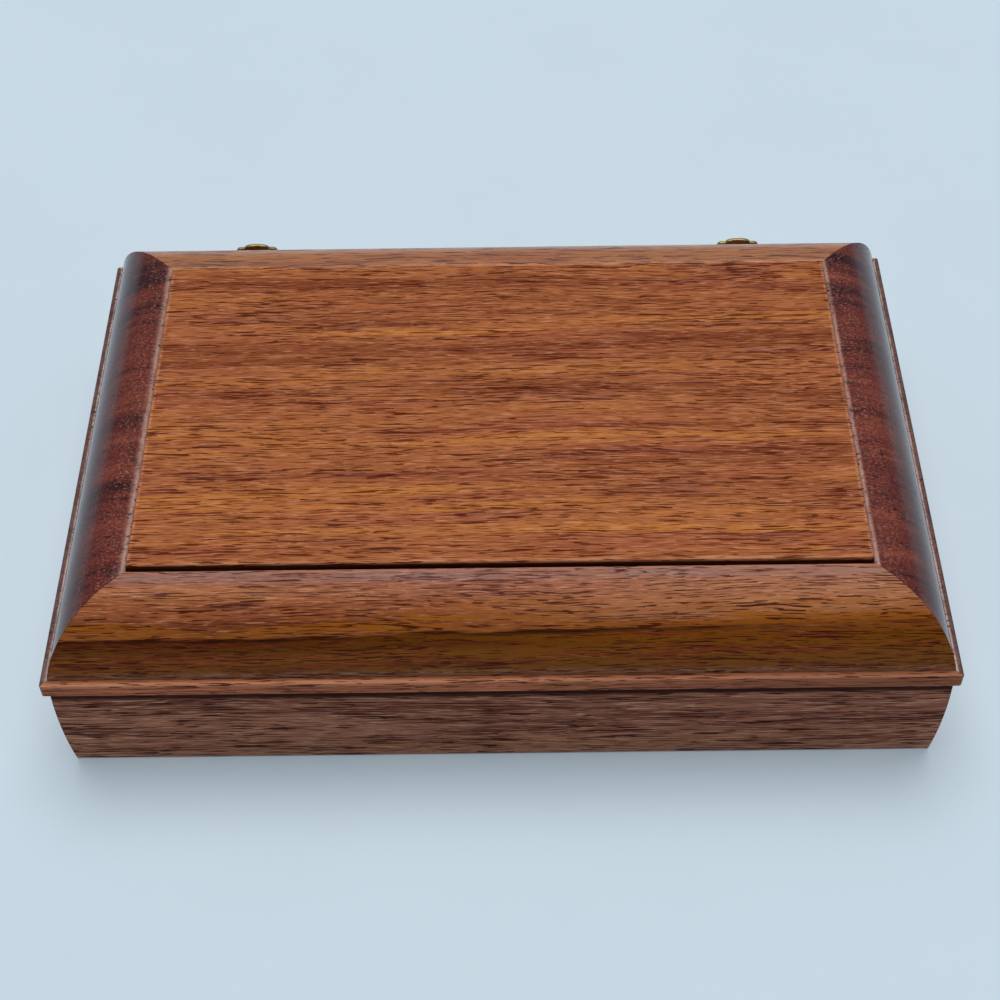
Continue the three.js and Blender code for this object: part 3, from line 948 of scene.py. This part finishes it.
hingeShape = {
    "fromSide": 47.8,
    "width": 13.6,
    "leafThickness": 1,
    "shoulderHeight": 14.1,
    "shoulderRound": 1.6,
    "shoulderSteps": 8,
    "lobeWidth": 7.8,
    "lobeRise": 1.3,
    "lobeSteps": 10,
    "knuckleGap": 0.3,
    "seamGap": 0.2,
    "pinInset": 0.4,
    "letInGap": 0.3,
    "rollSteps": 28,
    "barrelSteps": 48,
    "arris": 0.12,
    "arrisAngle": 50,       # degrees
    "overrun": 2,           # how far the cutters reach out of the wood
}
pinShape = {"radius": 1, "play": 0.1, "dome": 0.4, "domeSteps": 8, "steps": 32}
screwShape = {
    "height": 5.4,          # pin line to the screws
    "spacing": 7.2,
    "length": 6.5,
    "taper": 2,
    "tip": 0.2,
    "shankRadius": 0.95,
    "headRadius": 1.7,
    "headDepth": 0.8,
    "neck": 0.96,           # foot of the head, as a share of the shank
    "sink": 0.6,            # top of the shank, as a share of the head's depth
    "clearance": 0.15,
    "slotWidth": 0.5,
    "slotDepth": 0.4,
    "slotTurns": {"lid": (20, -35), "base": (70, 5)},   # degrees
    "steps": 32,
    "arris": 0.06,
    "arrisAngle": 30,
}
hingeAlong = {
    "left": boxSizes["width"] / 2 - hingeShape["fromSide"],    # the back side is worked on turned round
    "right": hingeShape["fromSide"] - boxSizes["width"] / 2,
}
boreRadius = pinShape["radius"] + pinShape["play"]
knuckleRadius = boreRadius + hingeShape["leafThickness"]
knuckleLength = (hingeShape["width"] - 2 * hingeShape["knuckleGap"]) / 3
knucklePitch = knuckleLength + hingeShape["knuckleGap"]
ownKnuckles = {"lid": (0,), "base": (-knucklePitch, knucklePitch)}


def quarter(middle, start, end, steps):   # an elliptical quarter round, from start to end
    points = []
    for step in range(steps + 1):
        angle = math.pi / 2 * step / steps
        first, second = math.cos(angle), math.sin(angle)
        points.append(tuple(m + first * (s - m) + second * (e - m) for m, s, e in zip(middle, start, end)))
    return points


def leafTop(clearance):   # the upper outline of a leaf, from its right side to its left
    shape = hingeShape
    side = shape["width"] / 2 + clearance
    shoulder = shape["shoulderHeight"] + clearance
    lobe = shape["lobeWidth"] / 2 + clearance
    size = shape["shoulderRound"]
    crest = shoulder + shape["lobeRise"]
    right = quarter((side - size, shoulder - size), (side, shoulder - size), (side - size, shoulder),
                    shape["shoulderSteps"])
    right += quarter((0, shoulder), (lobe, shoulder), (0, crest), shape["lobeSteps"])
    left = [(-x, z) for x, z in reversed(right[:-1])]
    return right + left


def lofted(name, rings):   # a solid through rings of points, where a ring of one point is a tip
    vertices, places, faces = [], [], []
    for ring in rings:
        places.append(range(len(vertices), len(vertices) + len(ring)))
        vertices += ring
    for low, high in zip(places, places[1:]):
        steps = max(len(low), len(high))
        for step in range(steps):
            after = (step + 1) % steps
            around = ((low, step), (low, after), (high, after), (high, step))
            faces.append(tuple(dict.fromkeys(ring[spot % len(ring)] for ring, spot in around)))
    faces += [tuple(end) for end in (places[0][::-1], places[-1]) if len(end) > 2]
    return meshFrom(name, vertices, faces)


def turnedSolid(profile, steps, axis="Y"):   # a closed profile of radius and length, spun about the axis
    rings = []
    for radius, along in profile:
        angles = [2 * math.pi * step / steps for step in range(steps if radius else 1)]
        spots = [(radius * math.cos(angle), radius * math.sin(angle)) for angle in angles]
        rings.append([(along, *spot) if axis == "X" else (spot[0], along, spot[1]) for spot in spots])
    return lofted("turned", rings)


def screwHoles():
    shape = screwShape
    headHole = shape["headRadius"] + shape["clearance"]
    shankHole = shape["shankRadius"] + shape["clearance"]
    deepest = shape["length"] + shape["clearance"]
    profile = [
        (0, -hingeShape["overrun"]),
        (headHole, -hingeShape["overrun"]),
        (headHole, 0),
        (shankHole, shape["headDepth"]),
        (shankHole, shape["length"] - shape["taper"]),
        (shape["tip"] + shape["clearance"], deepest),
        (0, deepest),
    ]
    holes = []
    for sign in (-1, 1):
        hole = turnedSolid(profile, shape["steps"])
        spot = Vector((sign * shape["spacing"] / 2, boreRadius, shape["height"])) * mm
        hole.transform(Matrix.Translation(spot))
        holes.append(hole)
    return holes


def atHinge(mesh, side, body):   # from the hinge's own frame to its place at the back of the box
    turn = Matrix.Rotation(math.pi if body == "base" else 0, 4, "Y")
    spot = Vector((hingeAlong[side], hingeShape["pinInset"], pinHeight)) * mm
    mesh.transform(Matrix.Translation(spot) @ turn)
    return toPlace(mesh, "back")


def leafSheet(body):   # the middle surface of one leaf, flat above the pin and rolled round it
    shape = hingeShape
    middle = knuckleRadius - shape["leafThickness"] / 2
    window = knuckleRadius + shape["knuckleGap"]
    foot = shape["knuckleGap"]
    half = shape["width"] / 2
    tabs = []
    for own in ownKnuckles[body]:
        tabs.append((max(own - knuckleLength / 2, -half), min(own + knuckleLength / 2, half)))
    outline = leafTop(0)
    corner = -half
    for left, right in tabs:
        if left > corner + hair:
            outline += [(corner, window), (left, window)]
        outline += [(left, foot), (right, foot)]
        corner = right
        if right < half - hair:
            outline += [(right, window)]
    if corner < half - hair:
        outline += [(half, window)]
    outline = list(dict.fromkeys(outline))
    vertices = [(x, middle, z) for x, z in outline]
    faces = [tuple(range(len(outline)))]
    seam = math.acos((boreRadius - shape["seamGap"]) / knuckleRadius)
    sweep = 2 * math.pi - seam
    for left, right in tabs:
        last = [outline.index((x, foot)) for x in (left, right)]
        for step in range(shape["rollSteps"] + 1):
            angle = -sweep * step / shape["rollSteps"]
            y, z = middle * math.cos(angle), middle * math.sin(angle)
            following = [len(vertices), len(vertices) + 1]
            vertices += [(left, y, z), (right, y, z)]
            faces.append((last[0], following[0], following[1], last[1]))
            last = following
    return meshFrom("leaf", vertices, faces)


def hingeLeaf(name, side, body):
    shape = hingeShape
    sheet = leafSheet(body)
    faceOutwards(sheet)
    maker = newObject(name, sheet)
    solid = maker.modifiers.new("thickness", "SOLIDIFY")
    solid.thickness = shape["leafThickness"] * mm
    solid.offset = 0
    solid.use_even_offset = True
    leaf = settled(maker)
    faceOutwards(leaf)
    leaf = smoothed(leaf, shape["arris"], shape["arrisAngle"])
    leaf = smoothed(cutFrom(leaf, screwHoles()))
    return atHinge(leaf, side, body)


def hingePin(side):
    radius, dome = pinShape["radius"], pinShape["dome"]
    half = hingeShape["width"] / 2
    end = quarter((0, half), (radius, half), (0, half + dome), pinShape["domeSteps"])
    profile = [(r, -along) for r, along in reversed(end)] + end
    profile = [(0 if r < hair else r, along) for r, along in profile]
    pin = turnedSolid(profile, pinShape["steps"], "X")
    faceOutwards(pin)
    return atHinge(smoothed(pin), side, "base")


def hingeRecess(side, body):   # what a leaf, its knuckles and its screws take out of the wood
    shape = hingeShape
    floor = knuckleRadius + boxSizes["seatGap"]
    half = shape["width"] / 2 + shape["letInGap"]
    outline = leafTop(shape["letInGap"]) + [(-half, 0), (half, 0)]
    outer = -shape["pinInset"] - shape["overrun"]
    bed = lofted("bed", [[(x, y, z) for x, z in outline] for y in (outer, floor)])
    reach = half + pinShape["dome"]
    profile = [(0, -reach), (floor, -reach), (floor, reach), (0, reach)]
    barrel = turnedSolid(profile, shape["barrelSteps"], "X")
    return [atHinge(cutter, side, body) for cutter in (bed, barrel, *screwHoles())]


# The lid and the base

def cutForHinges(mesh, body):
    for side in hingeAlong:
        mesh = cutFrom(mesh, hingeRecess(side, body))
    return mesh


sideWoods = {   # of the rail and of the board
    "front": ("frontRailWood", "boardWood"),
    "right": ("sideRailWood", "sideBoardWood"),
    "back": ("backRailWood", "boardWood"),
    "left": ("sideRailWood", "sideBoardWood"),
}

for side, (railWood, boardWood) in sideWoods.items():
    rail = sideLength("rail", side, railSection(), railShape, lipInset, railWood)
    board = sideLength("board", side, boardSection(), boardShape, bellyInsetAt, boardWood)
    if side == "back":
        rail = cutForHinges(rail, "lid")
        board = cutForHinges(board, "base")
    finish(f"{side}_rail", smoothed(rail), railWood, "lid", [f"lid_{side}_rail"])
    finish(f"{side}_board", smoothed(board), boardWood, "base", [f"base_{side}_board"])
print("rails and boards made")

flatShape = {"underSteps": 4, "topSteps": 6, "cornerSteps": 6, "leastRound": 0.05, "innerRing": 12}


def roundedBoard(width, depth, bottom, top, shape, topWearAndHighlight):   # a flat board with eased edges and corners
    arris, guard = shape["arris"], rounding["guard"]
    under = quarter((arris, bottom + arris), (arris, bottom), (0, bottom + arris), flatShape["underSteps"])
    over = quarter((arris, top - arris), (0, top - arris), (arris, top), flatShape["topSteps"])
    rings = [(*point, 0) for point in (*under, (0, top - arris - guard))]
    rings += [(*point, topWearAndHighlight) for point in over]
    rings += [(arris + guard, top, 0), (arris + flatShape["innerRing"], top, 0)]
    solid, wearsAndHighlights = [], []
    for inset, height, wearAndHighlight in rings:
        size = max(shape["cornerRound"] - inset, flatShape["leastRound"])
        ring = []
        for signX, signY in ((1, 1), (-1, 1), (-1, -1), (1, -1)):
            middle = (signX * (width / 2 - inset - size), signY * (depth / 2 - inset - size))
            atX, atY = (middle[0] + signX * size, middle[1]), (middle[0], middle[1] + signY * size)
            turn = (atX, atY) if signX == signY else (atY, atX)
            ring += [(*point, height) for point in quarter(middle, *turn, flatShape["cornerSteps"])]
        solid.append(ring)
        wearsAndHighlights += [wearAndHighlight] * len(ring)
    mesh = lofted("board", solid)
    markPoints(mesh, "wearAndHighlight", wearsAndHighlights)
    faceOutwards(mesh)
    return smoothed(mesh)


panelWidth = boxSizes["width"] - 2 * (railReach + panelShape["endGap"])
panelDepth = boxSizes["depth"] - 2 * (railReach + panelShape["sideGap"])
panelTop = lidTop + panelShape["proud"]
# the panel's top arris takes wear and a painted highlight
panel = roundedBoard(panelWidth, panelDepth, panelTop - panelShape["thickness"], panelTop, panelShape, 1)
finish("raised_panel", panel, "panelWood", "lid", ["lid_panel"])
bottomInset = boxSizes["wallInset"] - bottomShape["rebate"] + bottomShape["gap"]
bottom = roundedBoard(boxSizes["width"] - 2 * bottomInset, boxSizes["depth"] - 2 * bottomInset,
                      0, bottomShape["thickness"], bottomShape, 0)
finish("flat_bottom", bottom, "bottomWood", "base", ["bottom_panel"])
print("panels made")

for side in hingeAlong:
    for body in ("lid", "base"):
        name = f"{side}_hinge_{body}_leaf"
        leaf = hingeLeaf(f"{side}_{body}_leaf", side, body)
        finish(f"{side}_{body}_rolled_leaf", leaf, "hingeBrass", body, [name])
    finish(f"{side}_domed_pin", hingePin(side), "screwBrass", "base", [f"{side}_hinge_pin"])
print("hinges made")


# Countersunk slotted screws, one at each point, with the head up the point's own Z

screwInputs = {
    "Head radius": "headRadius",
    "Head depth": "headDepth",
    "Shank radius": "shankRadius",
    "Tip radius": "tip",
    "Length": "length",
    "Slot width": "slotWidth",
    "Slot depth": "slotDepth",
}


def makeSlottedScrews():
    sockets = {"Places": "Geometry"} | dict.fromkeys(screwInputs, "Float") | {"Finish": "Material"}
    tree, given = newTree("slottedScrews", "GeometryNodeTree", sockets, {"Screws": "Geometry"})
    whole = addNode(tree, "GeometryNodeMeshBoolean", operation="UNION", solver="MANIFOLD")

    def addCone(top, foot, depth, drop):   # its foot lies below the point by the drop
        cone = {"Vertices": screwShape["steps"], "Radius Top": top, "Radius Bottom": foot, "Depth": depth}
        cone = outOf(tree, "GeometryNodeMeshCone", cone)
        lowered = {"Geometry": cone, "Translation": vectorOf({2: times(drop, -1.0)})}
        tree.links.new(outOf(tree, "GeometryNodeTransform", lowered), whole.inputs["Mesh 2"])

    neck = times(given["Shank radius"], screwShape["neck"])
    addCone(given["Head radius"], neck, given["Head depth"], given["Head depth"])
    room = minus(given["Length"], times(given["Head depth"], screwShape["sink"]))
    addCone(given["Shank radius"], given["Tip radius"], room, given["Length"])
    # the cutter is centred on the top of the head, and twice as long as the head is wide
    long, tall = times(given["Head radius"], 4.0), times(given["Slot depth"], 2.0)
    size = vectorOf({0: long, 1: given["Slot width"], 2: tall})
    slot = outOf(tree, "GeometryNodeMeshCube", {"Size": size})
    cut = {"Mesh 1": whole.outputs[0], "Mesh 2": slot}
    screw = outOf(tree, "GeometryNodeMeshBoolean", cut, operation="DIFFERENCE", solver="MANIFOLD")
    upright = {"Points": given["Places"], "Instance": screw, "Rotation": (-math.pi / 2, 0, 0)}
    placed = outOf(tree, "GeometryNodeInstanceOnPoints", upright)
    turn = outOf(tree, "GeometryNodeInputNamedAttribute", {"Name": "slotTurn"}, data_type="FLOAT")
    spun = {"Instances": placed, "Rotation": vectorOf({2: turn}), "Local Space": True}
    geometry = outOf(tree, "GeometryNodeRotateInstances", spun)
    endTree(tree, "Screws", geometry, given["Finish"])
    return tree


slottedScrewsTree = makeSlottedScrews()


def hingeScrews(body):
    shape = screwShape
    spots, turns, nodes = [], [], []
    for side in hingeAlong:
        for index, sign in enumerate((-1, 1)):
            spot = (sign * shape["spacing"] / 2, boreRadius, shape["height"])
            dot = atHinge(meshFrom("dot", [spot], []), side, body)
            spots.append(dot.vertices[0].co / mm)
            turns.append(math.radians(shape["slotTurns"][body][index]))
            nodes.append(f"{side}_hinge_{body}_screw_{index + 1}")
    mesh = meshFrom("spots", spots, [])
    markPoints(mesh, "slotTurn", turns)
    values = {name: shape[key] * mm for name, key in screwInputs.items()}
    values["Finish"] = materials["screwBrass"]
    screws = runTree("screws", mesh, slottedScrewsTree, values)
    faceOutwards(screws)
    return smoothed(screws, shape["arris"], shape["arrisAngle"]), nodes


for body in ("lid", "base"):
    screws, nodes = hingeScrews(body)
    finish(f"{body}_hinge_screws", screws, "screwBrass", body, nodes)
print("screws made")


# Stage, light and camera

stage = {
    "floor": (203, 220, 232),
    "floorReach": 30000,
    "floorClouds": ((90, 90, 90), 4.0, 0.6, (0.3, 0.7)),
    "cloudShare": 0.025,
    "floorRoughness": 0.7,
    "floorGloss": 0.2,
    "plainShare": 0.3,       # how much of the floor's colour doesn't follow the light
    "room": (201, 217, 228),
    "frontFade": (-0.86, -0.5, 0.2, 1.0),    # the room is darker on the side that the box faces
    "upperFade": (0.0, 0.25, 1.0, 0.35),     # and above the pale backdrop
}


def floorMaterial():
    material, tree, place = startMaterial("paleFloor")
    cloud = times(patchy(place, stage["floorClouds"]), stage["cloudShare"])
    tone = linearTone(stage["floor"])
    colour = tint(cloud, tone, (0, 0, 0))
    look = {"Base Color": colour, "Roughness": stage["floorRoughness"],
            "Specular IOR Level": stage["floorGloss"]}
    cloth = outOf(tree, "ShaderNodeBsdfPrincipled", look)
    glow = outOf(tree, "ShaderNodeEmission", {"Color": tone})
    rays = addNode(tree, "ShaderNodeLightPath").outputs
    seen = larger(rays["Is Camera Ray"], rays["Is Glossy Ray"])
    seen = larger(seen, rays["Is Transmission Ray"])
    share = times(seen, stage["plainShare"])
    mixed = outOf(tree, "ShaderNodeMixShader", {0: share, 1: cloth, 2: glow})
    addNode(tree, "ShaderNodeOutputMaterial", {"Surface": mixed})
    return material


reach = stage["floorReach"]
corners = [(-reach, -reach, 0), (reach, -reach, 0), (reach, reach, 0), (-reach, reach, 0)]
floor = newObject("paleFloor", meshFrom("paleFloor", corners, [(0, 1, 2, 3)]))
floor.data.materials.append(floorMaterial())

world = bpy.data.worlds.new("softRoom")
bpy.context.scene.world = world
world.use_nodes = True
tree = world.node_tree
tree.nodes.clear()
way = addNode(tree, "ShaderNodeTexCoord").outputs["Generated"]
wayY, wayZ = partsOf(way)[1:]
seen = addNode(tree, "ShaderNodeLightPath").outputs["Is Camera Ray"]
level = stepped(stage, frontFade=wayY, upperFade=wayZ)
lit = {"Color": linearTone(stage["room"]), "Strength": larger(level, seen)}
room = outOf(tree, "ShaderNodeBackground", lit)
addNode(tree, "ShaderNodeOutputWorld", {"Surface": room})

# one wide light from nearly overhead
softLight = {"elevation": 77, "spread": 50, "strength": 2.45, "colour": (1.0, 0.97, 0.94)}
lampData = bpy.data.lights.new("softLight", "SUN")
lampData.angle = math.radians(softLight["spread"])
lampData.energy = softLight["strength"]
lampData.color = softLight["colour"]
lamp = newObject("softLight", lampData)
lamp.rotation_euler = (-math.radians(90 - softLight["elevation"]), 0, 0)

cameraSetup = {
    "place": (1.918, -368.437, 453.277),
    "pitch": 0.7024,       # radians up from straight down
    "yaw": 0.291,          # degrees
    "roll": -0.901,
    "lens": 65.48,
    "sensor": 36,
    "nearest": 10,
}
cameraData = bpy.data.cameras.new("photoCamera")
cameraData.lens = cameraSetup["lens"]
cameraData.sensor_width = cameraSetup["sensor"]
cameraData.clip_start = cameraSetup["nearest"] * mm
camera = newObject("photoCamera", cameraData)
turn = Matrix.Rotation(math.radians(cameraSetup["yaw"]), 4, "Z")
turn = turn @ Matrix.Rotation(cameraSetup["pitch"], 4, "X")
turn = turn @ Matrix.Rotation(math.radians(cameraSetup["roll"]), 4, "Z")
camera.matrix_world = Matrix.Translation(Vector(cameraSetup["place"]) * mm) @ turn
scene = bpy.context.scene
scene.camera = camera
scene.view_settings.view_transform = "Standard"
print("stage, light and camera set")
